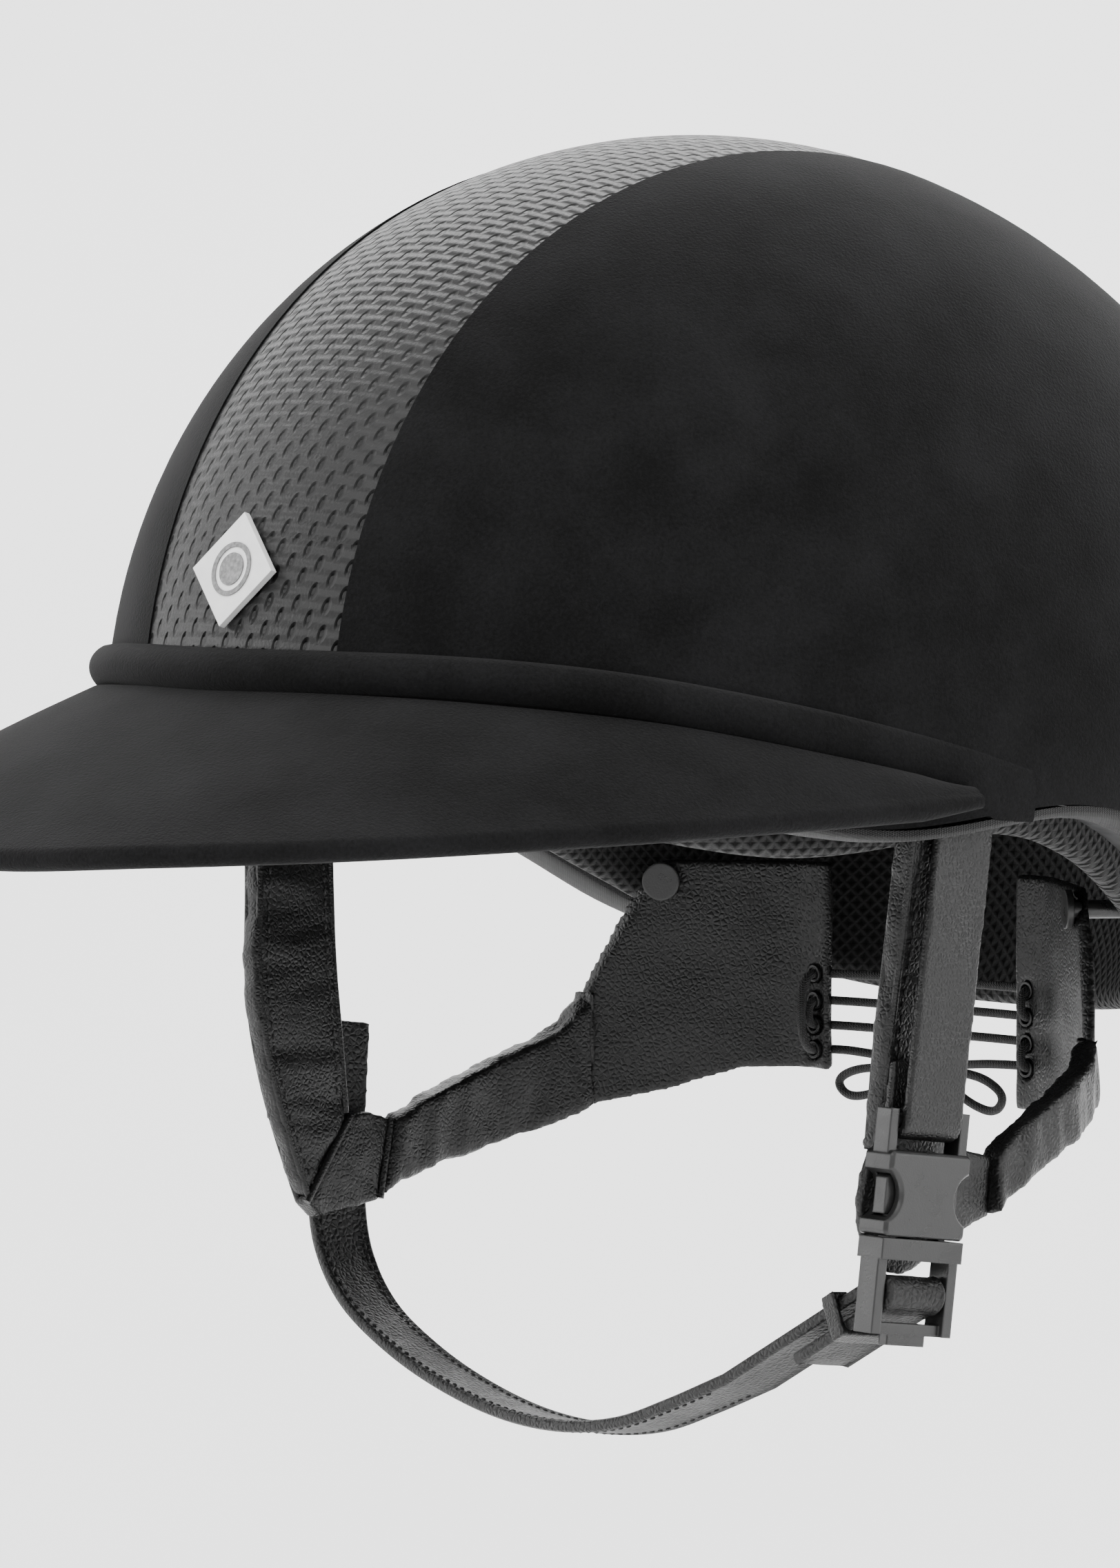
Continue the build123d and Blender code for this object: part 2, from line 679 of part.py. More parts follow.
def build_plug():
    half = BUCKLE_W / 2
    with BuildPart() as buckle_plug:
        add(along_face(-half, half, PLUG_SHOULDER, PLUG_TOP, BUCKLE_T - 0.6))
        add(along_face(-2.2, 2.2, PLUG_TOP - 1, 12.8, PRONG_T))
        for x in (-half + 0.1, half - 2.5):
            add(along_face(x, x + 2.4, PLUG_END, PLUG_SHOULDER + 1, 5.4))
        add(along_face(-half + 0.1, half - 0.1, PLUG_END, PLUG_END + 2.3, 3.2))
        add(along_face(-5, 5, PLUG_END - 2.2, PLUG_END + 0.5, 2.4))
        with BuildSketch(BUCKLE):
            with Locations((0, ADJUST_BAR)):
                Circle(BAR_R)
        extrude(amount=half - 1, both=True)
        pivot_x, pivot_y = PRONG_PIVOT
        for sign in (-1, 1):
            with BuildSketch(BUCKLE_FACE):
                with Locations((sign * pivot_x, pivot_y)):
                    Circle(1.3)
                with Locations((sign * pivot_x, pivot_y + 1)):
                    Rectangle(3.8, 2)
            extrude(amount=PRONG_T / 2 + 0.3, both=True, mode=Mode.SUBTRACT)
    save(buckle_plug, "buckle_plug")


def build_prongs():
    pivot_x, pivot_y = PRONG_PIVOT
    for name, sign in (("rear_release_prong", 1), ("front_release_prong", -1)):
        outline = [(5.8, pivot_y), (5.8, 12.0), (6.4, 13.2), (7.6, 13.2), (9.6, 11.6), (9.6, 4.4), (7.5, 4.4),
                   (7.5, pivot_y)]
        with BuildPart() as prong:
            with BuildSketch(BUCKLE_FACE):
                with BuildLine():
                    Polyline(*[(sign * x, y) for x, y in outline], close=True)
                make_face()
                with Locations((sign * pivot_x, pivot_y)):
                    Circle(1.2)
            extrude(amount=PRONG_T / 2, both=True)
        save(prong, name)


# ---- chin strap -----------------------------------------------------------
STRAP_ANGLE = 29.3            # the strap's rise to the plug, degrees
TAIL_LENGTH = 28.0


def strap_offset(distance, aside):
    """Point beside the straight stretch, measured from the adjusting bar, in the buckle's plane."""
    angle = math.radians(STRAP_ANGLE)
    along = (-math.cos(angle), -math.sin(angle))
    normal = (-math.sin(angle), math.cos(angle))
    return (distance * along[0] + aside * normal[0], ADJUST_BAR + distance * along[1] + aside * normal[1])


def build_chin_strap():
    """Webbing from the right junction, round the plug's bar and back along itself."""
    tangent_point = strap_offset(0, LOOP_R)
    straight_start = strap_offset(50, LOOP_R)
    tail_end = strap_offset(TAIL_LENGTH, LOOP_R - 2.2)
    with BuildPart() as chin_strap:
        with BuildSketch(BUCKLE):
            with BuildLine():
                Spline(*STRAP_CURVE[:-1], straight_start)
                Line(straight_start, tangent_point)
                turn = CenterArc((0, ADJUST_BAR), LOOP_R, 90 + STRAP_ANGLE, -180)
                Line(turn @ 1, tail_end)
            trace(line_width=WEB_T)
            with Locations(HINGE):
                Circle(WEB_T / 2)
        extrude(amount=WEB_W / 2, both=True)
    save(chin_strap, "chin_strap")
    with BuildPart() as chin_strap_anchor:
        with BuildSketch(BUCKLE):
            with BuildLine():
                Line((HINGE[0] - 0.2, HINGE[1] + 1.6), (HINGE[0] - 2.2, HINGE[1] + 24))
            trace(line_width=WEB_T)
        extrude(amount=WEB_W / 2, both=True)
    save(chin_strap_anchor, "chin_strap_anchor")
    with BuildPart() as strap_keeper:
        with BuildSketch(BUCKLE):
            with Locations(Location((*strap_offset(13, 0.5), 0), (0, 0, STRAP_ANGLE))):
                Rectangle(4, 9.6)
        extrude(amount=WEB_W / 2 + 1.5, both=True)
        with BuildSketch(BUCKLE):
            with Locations(Location((*strap_offset(13, 0.5), 0), (0, 0, STRAP_ANGLE))):
                Rectangle(6, 7.2)
        extrude(amount=WEB_W / 2 + 0.3, both=True, mode=Mode.SUBTRACT)
    save(strap_keeper, "strap_keeper")


def build_rivets():
    with BuildPart() as harness_rivets:
        for side, sign in SIDES.items():
            outside = shell_x(*RIVET_AT) - RIVET_SINK
            inside = SLEEVE_X[side] + SLEEVE_SLOPE[side] * (RIVET_AT[1] - SLEEVE_Z) - STRAP_T / 2 - 1.6
            with BuildSketch(Plane.YZ.offset(sign * inside)):
                with Locations(RIVET_AT):
                    Circle(RIVET_R)
            extrude(amount=sign * (outside - inside))
            with BuildSketch(Plane.YZ.offset(sign * outside)):
                with Locations(RIVET_AT):
                    Circle(RIVET_HEAD_R)
            extrude(amount=-sign * RIVET_HEAD_T)
    save(harness_rivets, "harness_rivets")
    with BuildPart() as rivet_washers:
        for side, sign in SIDES.items():
            inside = SLEEVE_X[side] + SLEEVE_SLOPE[side] * (RIVET_AT[1] - SLEEVE_Z) - STRAP_T / 2 - 1.6
            with BuildSketch(Plane.YZ.offset(sign * inside)):
                with Locations(RIVET_AT):
                    Circle(RIVET_HEAD_R)
                    Circle(RIVET_R, mode=Mode.SUBTRACT)
            extrude(amount=sign * 0.8)
    save(rivet_washers, "rivet_washers")


build_shell_and_liner()
build_covers()
brim_roll = build_roll()
build_binding()
build_headband()
build_crown_pad()
build_badge()
build_peak(brim_roll)
strap_facing = build_facing()
build_sleeves(strap_facing)
build_rear_arms()
build_studs()
build_lacing()
socket = build_socket()
build_guard_pad(strap_facing, socket)
build_plug()
build_prongs()
build_chin_strap()
build_rivets()
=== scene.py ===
import math

import bmesh
import bpy
from mathutils import Matrix, Vector, noise
from mathutils.bvhtree import BVHTree


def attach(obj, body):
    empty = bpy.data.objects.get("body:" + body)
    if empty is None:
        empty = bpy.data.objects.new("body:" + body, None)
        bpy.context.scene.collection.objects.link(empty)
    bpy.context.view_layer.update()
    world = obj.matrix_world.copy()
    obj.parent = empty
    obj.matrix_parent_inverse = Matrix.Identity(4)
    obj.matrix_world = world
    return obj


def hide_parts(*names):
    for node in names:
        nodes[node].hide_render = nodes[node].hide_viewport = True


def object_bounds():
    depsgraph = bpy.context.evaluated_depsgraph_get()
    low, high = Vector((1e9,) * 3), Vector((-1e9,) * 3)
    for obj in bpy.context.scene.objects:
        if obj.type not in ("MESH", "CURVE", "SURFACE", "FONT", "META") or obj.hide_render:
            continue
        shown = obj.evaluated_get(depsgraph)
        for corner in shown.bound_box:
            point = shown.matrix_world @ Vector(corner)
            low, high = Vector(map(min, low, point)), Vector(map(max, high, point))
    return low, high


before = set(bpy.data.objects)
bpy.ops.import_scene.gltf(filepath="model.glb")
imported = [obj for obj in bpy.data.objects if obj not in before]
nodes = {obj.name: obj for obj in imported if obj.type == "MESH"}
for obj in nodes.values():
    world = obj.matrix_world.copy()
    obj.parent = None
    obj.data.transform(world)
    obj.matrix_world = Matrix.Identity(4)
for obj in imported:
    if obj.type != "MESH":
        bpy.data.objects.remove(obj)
cad_box = [list(corner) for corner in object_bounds()]
MM = 0.001

# ---- camera ----------------------------------------------------------------
AZIMUTH = math.radians(45)          # from straight ahead towards the wearer's left
ELEVATION = math.radians(3)
DISTANCE = 1.6
away = Vector((math.sin(AZIMUTH) * math.cos(ELEVATION), -math.cos(AZIMUTH) * math.cos(ELEVATION),
               math.sin(ELEVATION)))
across = Vector((math.cos(AZIMUTH), math.sin(AZIMUTH), 0))
upward = away.cross(across).normalized()
if upward.z < 0:
    upward = -upward
camera_data = bpy.data.cameras.new("camera")
camera_data.lens = 172.15
camera_data.sensor_width = 36
camera = bpy.data.objects.new("camera", camera_data)
bpy.context.scene.collection.objects.link(camera)
spot = away * DISTANCE
camera_data.shift_x = -0.108
camera_data.shift_y = -0.0128
camera.matrix_world = Matrix((
    (across.x, upward.x, away.x, spot.x),
    (across.y, upward.y, away.y, spot.y),
    (across.z, upward.z, away.z, spot.z),
    (0, 0, 0, 1)))
bpy.context.scene.camera = camera


# ---- materials ---------------------------------------------------------------
class Shader:
    """A principled material with short calls for its texture nodes."""

    def __init__(self, name, **inputs):
        self.material = bpy.data.materials.new(name)
        self.material.use_nodes = True
        self.tree = self.material.node_tree
        self.body = self.tree.nodes["Principled BSDF"]
        for key, value in inputs.items():
            self.body.inputs[key.replace("_", " ")].default_value = value
        coords = self.tree.nodes.new("ShaderNodeTexCoord")
        self.place = coords.outputs["Object"]

    def link(self, source, target):
        if isinstance(source, (int, float)):
            target.default_value = source
        else:
            self.tree.links.new(source, target)

    def math(self, operation, a, b=0.0, c=0.0, clamp=False):
        node = self.tree.nodes.new("ShaderNodeMath")
        node.operation = operation
        node.use_clamp = clamp
        for socket, value in zip(node.inputs, (a, b, c)):
            self.link(value, socket)
        return node.outputs[0]

    def noise(self, size, detail=2.0, rough=0.5, stretch=None):
        """Noise whose features are about size metres; stretch scales the axes first."""
        node = self.tree.nodes.new("ShaderNodeTexNoise")
        node.inputs["Scale"].default_value = 1 / size
        node.inputs["Detail"].default_value = detail
        node.inputs["Roughness"].default_value = rough
        self.link(self.stretched(stretch), node.inputs["Vector"])
        return node.outputs[0]

    def cells(self, size, feature="F1", stretch=None):
        node = self.tree.nodes.new("ShaderNodeTexVoronoi")
        node.feature = feature
        node.inputs["Scale"].default_value = 1 / size
        self.link(self.stretched(stretch), node.inputs["Vector"])
        return node.outputs[0]

    def stretched(self, stretch):
        if stretch is None:
            return self.place
        node = self.tree.nodes.new("ShaderNodeMapping")
        node.inputs["Scale"].default_value = stretch
        self.tree.links.new(self.place, node.inputs["Vector"])
        return node.outputs[0]

    def ramp(self, value, low, high, from_low=0.0, from_high=1.0):
        node = self.tree.nodes.new("ShaderNodeMapRange")
        node.inputs["From Min"].default_value = from_low
        node.inputs["From Max"].default_value = from_high
        node.inputs["To Min"].default_value = low
        node.inputs["To Max"].default_value = high
        self.link(value, node.inputs["Value"])
        return node.outputs[0]

    def colour(self, value, dark, light, from_low=0.3, from_high=0.7):
        node = self.tree.nodes.new("ShaderNodeMix")
        node.data_type = "RGBA"
        self.link(self.ramp(value, 0, 1, from_low, from_high), node.inputs["Factor"])
        node.inputs["A"].default_value = (*dark, 1)
        node.inputs["B"].default_value = (*light, 1)
        self.tree.links.new(node.outputs["Result"], self.body.inputs["Base Color"])

    def roughness(self, value, low, high):
        self.link(self.ramp(value, low, high, 0.3, 0.7), self.body.inputs["Roughness"])

    def bump(self, height, distance, strength=1.0):
        node = self.tree.nodes.new("ShaderNodeBump")
        node.inputs["Distance"].default_value = distance
        node.inputs["Strength"].default_value = strength
        self.link(height, node.inputs["Height"])
        self.tree.links.new(node.outputs[0], self.body.inputs["Normal"])
        return node

    def rounded(self, bump_node, radius):
        """Soft highlights along moulded edges."""
        node = self.tree.nodes.new("ShaderNodeBevel")
        node.samples = 6
        node.inputs["Radius"].default_value = radius
        self.tree.links.new(node.outputs[0], bump_node.inputs["Normal"])

    def separate(self):
        node = self.tree.nodes.new("ShaderNodeSeparateXYZ")
        self.tree.links.new(self.place, node.inputs[0])
        return node.outputs


def suede():
    s = Shader("suede", Roughness=0.95, Sheen_Weight=0.05, Sheen_Roughness=0.45)
    s.body.inputs["Specular IOR Level"].default_value = 0.06
    nap = s.noise(0.0007, 3, 0.7)
    drift = s.noise(0.02, 3)
    both = s.math("MULTIPLY_ADD", drift, 0.45, s.math("MULTIPLY", nap, 0.55))
    s.colour(both, (0.0035, 0.0035, 0.0035), (0.0105, 0.0105, 0.011), 0.38, 0.66)
    s.roughness(nap, 0.85, 1.0)
    s.bump(nap, 0.00035, 0.7)
    return s.material


DOME_TILT = math.radians(20.4)
SLOT_COLUMN = 7.0 * MM
SLOT_ROW = 2.7 * MM


def mesh_leather():
    """Rows of short slots along the strip, each second row shifted by half a column."""
    s = Shader("mesh_leather", Roughness=0.42)
    s.body.inputs["Specular IOR Level"].default_value = 0.3
    x, y, z = s.separate()
    cos_t, sin_t = math.cos(DOME_TILT), math.sin(DOME_TILT)
    u = s.math("SUBTRACT", s.math("MULTIPLY", y, cos_t), s.math("MULTIPLY", z, sin_t))
    v = s.math("ADD", s.math("MULTIPLY", y, sin_t), s.math("MULTIPLY", z, cos_t))
    mean_radius = 0.139
    arc = s.math("MULTIPLY", s.math("ARCTAN2", v, u), mean_radius)
    sunk = None
    for shift in (0.0, 0.5):
        column = s.math("ADD", s.math("DIVIDE", x, SLOT_COLUMN), shift + 100.5)
        row = s.math("ADD", s.math("DIVIDE", arc, 2 * SLOT_ROW), shift + 100.5)
        aside = s.math("MULTIPLY", s.math("SUBTRACT", s.math("FRACT", column), 0.5), SLOT_COLUMN / MM)
        along = s.math("MULTIPLY", s.math("SUBTRACT", s.math("FRACT", row), 0.5), 2 * SLOT_ROW / MM)
        slanted = s.math("MULTIPLY_ADD", along, 0.18, aside)
        wide = s.math("DIVIDE", slanted, 0.85)
        long = s.math("DIVIDE", along, 1.55)
        reach = s.math("SQRT", s.math("ADD", s.math("MULTIPLY", wide, wide), s.math("MULTIPLY", long, long)))
        hole = s.ramp(reach, 1.0, 0.0, 0.55, 1.25)
        sunk = hole if sunk is None else s.math("MAXIMUM", sunk, hole)
    ribs = s.math("SINE", s.math("MULTIPLY", arc, 2 * math.pi / SLOT_ROW))
    grain = s.noise(0.0006, 2)
    height = s.math("SUBTRACT", 1.0, sunk)
    height = s.math("MULTIPLY_ADD", ribs, 0.14, height)
    height = s.math("MULTIPLY_ADD", grain, 0.12, height)
    # The slot mask also paints the slots near black: painted shade inside the holes, on top of their sunken
    # bump.
    s.colour(sunk, (0.014, 0.014, 0.014), (0.0005, 0.0005, 0.0005), 0.35, 0.8)
    s.roughness(grain, 0.36, 0.5)
    s.bump(height, 0.0011, 0.95)
    return s.material


def leather(name, dark, light, rough, grain_size, depth, crease=0.0):
    s = Shader(name, Roughness=rough)
    s.body.inputs["Specular IOR Level"].default_value = 0.34
    grain = s.cells(grain_size, "DISTANCE_TO_EDGE")
    fine = s.noise(grain_size * 0.5, 3)
    soft = s.noise(0.012, 4, 0.6)
    height = s.math("MINIMUM", s.math("MULTIPLY", grain, 3.0), 1.0)
    height = s.math("MULTIPLY_ADD", fine, 0.4, height)
    height = s.math("MULTIPLY_ADD", soft, crease, height)
    s.colour(soft, dark, light)
    s.roughness(soft, rough - 0.06, rough + 0.1)
    s.bump(height, depth, 0.6)
    return s.material


def plastic():
    s = Shader("buckle_plastic", Roughness=0.28)
    s.body.inputs["Specular IOR Level"].default_value = 0.5
    texture = s.noise(0.0004, 2)
    wear = s.noise(0.006, 4)
    s.colour(wear, (0.008, 0.008, 0.008), (0.014, 0.014, 0.014))
    s.roughness(wear, 0.24, 0.4)
    s.rounded(s.bump(texture, 0.00006, 0.5), 0.0006)
    return s.material


def knit():
    """Diamond knit, laid round the headband."""
    s = Shader("knit", Roughness=0.9, Sheen_Weight=0.1)
    s.body.inputs["Specular IOR Level"].default_value = 0.15
    x, y, z = s.separate()
    round_way = s.math("MULTIPLY", s.math("ARCTAN2", x, y), 0.095)
    step = 2 * math.pi / 0.0030
    rise = s.math("MULTIPLY", s.math("ADD", round_way, z), step)
    fall = s.math("MULTIPLY", s.math("SUBTRACT", round_way, z), step)
    lattice = s.math("MAXIMUM", s.math("SINE", rise), s.math("SINE", fall))
    thread = s.noise(0.0005, 2)
    # The lattice colour is painted light: a painted highlight along the knit ridges and painted shade in the
    # grooves between them.
    s.colour(lattice, (0.004, 0.004, 0.004), (0.026, 0.026, 0.026), 0.0, 1.0)
    s.bump(s.math("MULTIPLY_ADD", thread, 0.4, lattice), 0.0005, 0.8)
    return s.material


def woven(name, dark, light, pitch, rough):
    s = Shader(name, Roughness=rough, Sheen_Weight=0.08)
    s.body.inputs["Specular IOR Level"].default_value = 0.25
    x, y, z = s.separate()
    one = s.math("SINE", s.math("MULTIPLY", s.math("ADD", x, z), 2 * math.pi / pitch))
    two = s.math("SINE", s.math("MULTIPLY", s.math("ADD", y, s.math("MULTIPLY", z, -1.0)), 2 * math.pi / pitch))
    weave = s.math("MULTIPLY", one, two)
    fibre = s.noise(pitch * 0.6, 3)
    s.colour(s.noise(0.01, 3), dark, light)
    s.bump(s.math("MULTIPLY_ADD", fibre, 0.6, weave), pitch * 0.25, 0.7)
    return s.material


def foam():
    s = Shader("liner_foam", Roughness=0.85)
    beads = s.cells(0.0035)
    s.colour(beads, (0.02, 0.02, 0.021), (0.034, 0.034, 0.035))
    s.bump(beads, 0.0005, 0.5)
    return s.material


def badge_white():
    s = Shader("badge_white", Roughness=0.4)
    tone = s.noise(0.004, 3)
    s.colour(tone, (0.70, 0.70, 0.70), (0.82, 0.82, 0.81))
    s.roughness(tone, 0.32, 0.48)
    s.rounded(s.bump(s.noise(0.0005, 2), 0.00004, 0.4), 0.0003)
    return s.material


def badge_grey():
    s = Shader("badge_grey", Roughness=0.5)
    dots = s.noise(0.0008, 2)
    s.colour(dots, (0.10, 0.10, 0.10), (0.24, 0.24, 0.24))
    s.bump(dots, 0.00008, 0.6)
    return s.material


def enamel():
    s = Shader("black_enamel", Roughness=0.3, Metallic=0.6)
    wear = s.noise(0.002, 3)
    s.colour(wear, (0.012, 0.012, 0.012), (0.05, 0.05, 0.05))
    s.roughness(wear, 0.22, 0.42)
    s.rounded(s.bump(wear, 0.00003, 0.5), 0.0003)
    return s.material


SUEDE = suede()
MESH = mesh_leather()
STRAP = leather("strap_leather", (0.003, 0.003, 0.003), (0.007, 0.007, 0.007), 0.36, 0.0009, 0.00012, 0.6)
PADDED = leather("padded_leather", (0.003, 0.003, 0.003), (0.006, 0.006, 0.006), 0.38, 0.0011, 0.00016, 1.5)
WEBBING = leather("chin_leather", (0.004, 0.004, 0.004), (0.010, 0.010, 0.010), 0.48, 0.0013, 0.0003, 1.0)
PLASTIC = plastic()
KNIT = knit()
BINDING = woven("binding", (0.006, 0.006, 0.006), (0.012, 0.012, 0.012), 0.0007, 0.7)
CORD = woven("lace_cord", (0.010, 0.010, 0.010), (0.022, 0.022, 0.022), 0.0008, 0.75)
THREAD = woven("thread", (0.012, 0.012, 0.012), (0.03, 0.03, 0.03), 0.0004, 0.6)
FOAM = foam()
WHITE = badge_white()
GREY = badge_grey()
ENAMEL = enamel()

CAD_LOOKS = {
    "left_cover_panel": SUEDE, "right_cover_panel": SUEDE, "centre_mesh_panel": MESH, "outer_shell": PLASTIC,
    "impact_liner": FOAM, "crown_pad": KNIT, "badge_plate": WHITE, "badge_emblem": GREY,
    "buckle_socket": PLASTIC, "buckle_plug": PLASTIC, "front_release_prong": PLASTIC,
    "rear_release_prong": PLASTIC, "harness_rivets": ENAMEL, "rivet_washers": ENAMEL, "flap_studs": PLASTIC,
    "lace_eyelets": ENAMEL, "lace_tips": PLASTIC,
}
for name, look in CAD_LOOKS.items():
    data = nodes[name].data
    data.materials.clear()
    data.materials.append(look)


# ---- helpers for the pieces ------------------------------------------------------
def new_object(name, mesh, look, body="helmet"):
    piece = bpy.data.objects.new(name, mesh)
    bpy.context.scene.collection.objects.link(piece)
    mesh.materials.clear()
    mesh.materials.append(look)
    for face in mesh.polygons:
        face.use_smooth = True
    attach(piece, body)
    return piece


def softened(node, name, look, voxel, rounds, wrinkle=None, body="helmet"):
    """A soft copy of a CAD piece: even mesh, rounded edges, wrinkles pushed in along its normals."""
    source = bpy.data.objects.new(name + "_source", nodes[node].data.copy())
    bpy.context.scene.collection.objects.link(source)
    weld = source.modifiers.new("weld", "WELD")
    weld.merge_threshold = 0.00001
    remesh = source.modifiers.new("remesh", "REMESH")
    remesh.mode = "VOXEL"
    remesh.voxel_size = voxel
    smooth = source.modifiers.new("smooth", "SMOOTH")
    smooth.factor = 0.5
    smooth.iterations = rounds
    graph = bpy.context.evaluated_depsgraph_get()
    mesh = bpy.data.meshes.new_from_object(source.evaluated_get(graph))
    bpy.data.objects.remove(source)
    mesh.name = name
    if wrinkle:
        moves = [wrinkle(vertex.co, vertex.normal) for vertex in mesh.vertices]
        for vertex, move in zip(mesh.vertices, moves):
            vertex.co += vertex.normal * move
    piece = new_object(name, mesh, look, body)
    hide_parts(node)
    return piece


def folds(size, depth, stretch=(1, 1, 1), seed=0.0):
    """Soft wrinkles as a function of place."""
    def move(point, normal):
        at = Vector((point.x * stretch[0], point.y * stretch[1], point.z * stretch[2])) / size
        return depth * (noise.noise(at + Vector((seed, 0, 0))) + 0.4 * noise.noise(at * 2.3))
    return move


def piped(name, points, radius, look, body="helmet", cyclic=False):
    """Round piping through a list of points."""
    curve = bpy.data.curves.new(name, "CURVE")
    curve.dimensions = "3D"
    curve.bevel_depth = radius
    curve.bevel_resolution = 3
    curve.resolution_u = 8
    curve.use_fill_caps = True
    spline = curve.splines.new("NURBS")
    spline.points.add(len(points) - 1)
    for spot, point in zip(spline.points, points):
        spot.co = (*point, 1)
    spline.order_u = 3
    spline.use_endpoint_u = not cyclic
    spline.use_cyclic_u = cyclic
    curve.materials.append(look)
    piece = bpy.data.objects.new(name, curve)
    bpy.context.scene.collection.objects.link(piece)
    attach(piece, body)
    return piece


def smooth_line(points, per_span=10):
    """Catmull-Rom points through a list of vectors."""
    points = [Vector(p) for p in points]
    padded = [points[0] * 2 - points[1]] + points + [points[-1] * 2 - points[-2]]
    line = []
    for a, b, c, d in zip(padded, padded[1:], padded[2:], padded[3:]):
        for k in range(per_span):
            t = k / per_span
            line.append(0.5 * ((2 * b) + (c - a) * t + (2 * a - 5 * b + 4 * c - d) * t * t
                               + (3 * b - a - 3 * c + d) * t ** 3))
    line.append(points[-1])
    return line


def evenly(line, step):
    """Points along a line at equal steps."""
    spots = [line[0].copy()]
    left = step
    for a, b in zip(line, line[1:]):
        run = (b - a).length
        done = 0.0
        while run - done >= left:
            done += left
            spots.append(a.lerp(b, done / run))
            left = step
        left -= run - done
    return spots


def stitches(name, line, onto, step=2.6 * MM, length=1.7 * MM, body="helmet", look=None):
    """Short threads along a line, pressed onto the surface of a piece."""
    graph = bpy.context.evaluated_depsgraph_get()
    tree = BVHTree.FromObject(onto, graph)
    work = bmesh.new()
    spots = evenly(line, step)
    for here, there in zip(spots, spots[1:]):
        along = (there - here).normalized()
        at, normal, _, _ = tree.find_nearest(here)
        if at is None:
            continue
        side = normal.cross(along).normalized()
        turn = Matrix((along, side, side.cross(along) * -1)).transposed().to_4x4()
        turn.translation = at + normal * 0.1 * MM
        size = Matrix.Diagonal((length / 2, 0.32 * MM, 0.28 * MM, 1))
        bmesh.ops.create_icosphere(work, subdivisions=1, radius=1.0, matrix=turn @ size)
    mesh = bpy.data.meshes.new(name)
    work.to_mesh(mesh)
    work.free()
    return new_object(name, mesh, look or THREAD, body)


def sheet_mesh(name, grid, look, body="helmet", close_rows=False, close_columns=False):
    """Mesh through a grid of points, rows of equal length."""
    rows, columns = len(grid), len(grid[0])
    points = [tuple(point) for row in grid for point in row]
    faces = []
    for i in range(rows if close_rows else rows - 1):
        for j in range(columns if close_columns else columns - 1):
            i2, j2 = (i + 1) % rows, (j + 1) % columns
            faces.append((i * columns + j, i * columns + j2, i2 * columns + j2, i2 * columns + j))
    mesh = bpy.data.meshes.new(name)
    mesh.from_pydata(points, [], faces)
    mesh.validate()
    work = bmesh.new()
    work.from_mesh(mesh)
    bmesh.ops.recalc_face_normals(work, faces=work.faces)
    work.to_mesh(mesh)
    work.free()
    return new_object(name, mesh, look, body)


# ---- peak ----------------------------------------------------------------------
PEAK_ROOT = [(0, -146, 19), (30, -141, 19), (58, -127, 17.5), (84, -101, 13.5), (102, -70, 6.5),
             (109, -42, 0.0)]
PEAK_EDGE = [(0, -207, -10.5), (42, -199, -8.5), (78, -172, -6.5), (102, -127, -4.4),
             (112, -80, -2.7), (115, -44, -1.0)]


def mirrored(half):
    other = [(-x, y, z) for x, y, z in reversed(half[1:])]
    return smooth_line([Vector(p) * MM for p in other + half], 14)


def build_peak():
    """One suede skin over the board and round its edge, and a smooth lining underneath."""
    roots, edges = mirrored(PEAK_ROOT), mirrored(PEAK_EDGE)
    top_rows, under_rows = [], []
    roll = 2.5 * MM
    for k, (root, edge) in enumerate(zip(roots, edges)):
        before, after = edges[max(k - 1, 0)], edges[min(k + 1, len(edges) - 1)]
        outward = (edge - root).normalized()
        normal = outward.cross(after - before).normalized()
        if normal.z < 0:
            normal = -normal
        ends = min(k, len(edges) - 1 - k) / 6
        thick = min(1.0, 0.55 + 0.45 * ends)
        row = []
        for t in [i / 16 for i in range(16)]:
            crown = 0.9 * MM * math.sin(math.pi * t)
            row.append(root.lerp(edge, t * 0.97) + normal * (1.3 * MM * thick + crown))
        centre = root.lerp(edge, 0.97) + normal * (-1.1 * MM * thick)
        swell = roll * thick
        for a in range(90, -136, -15):
            turn = math.radians(a)
            row.append(centre + outward * math.cos(turn) * swell * 1.05 + normal * math.sin(turn) * swell)
        row.append(root.lerp(edge, 0.90) + normal * (-3.3 * MM * thick))
        top_rows.append(row)
        under = []
        for t in [i / 10 for i in range(11)]:
            under.append(root.lerp(edge, 0.915 * t) + normal * (-3.4 * MM * thick))
        under_rows.append(under)
    cover = sheet_mesh("peak_suede", top_rows, SUEDE)
    lining = sheet_mesh("peak_underside", under_rows, BINDING)
    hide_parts("peak_cover", "peak_core")
    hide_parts("peak_lining")
    return cover


peak = build_peak()


# ---- roll, binding and headband ---------------------------------------------------
RIM = [(-165, 6), (-110, 3), (-60, -7), (-15, -3.5), (11, -9), (38, -23), (61, -37), (90, -49), (125, -54),
       (165, -55)]
ROLL_TOP = [(-160, 27), (-138, 28.5), (-110, 25.5), (-77, 18.2), (-42, 9), (-24, 3.5), (-12, 1)]
ROLL_GROOVE = [(-160, 18.6), (-135, 19.4), (-108, 15.6), (-75, 7.4), (-46, 0.6), (-39, -3.0), (-34, -6.0),
               (-12, -7)]
DOME = (114.0, 146.2, 132.2)
LINER_IN = (92.0, 118.0, 107.0)


def side_line(points):
    """Height as a function of Y along a side-view line."""
    line = smooth_line([Vector((0, y, z)) for y, z in points], 20)

    def height(y):
        for a, b in zip(line, line[1:]):
            if a.y <= y <= b.y:
                return a.z + (b.z - a.z) * (y - a.y) / (b.y - a.y)
        return line[0].z if y < line[0].y else line[-1].z
    return height


rim_height = side_line(RIM)
roll_top = side_line(ROLL_TOP)
roll_groove = side_line(ROLL_GROOVE)


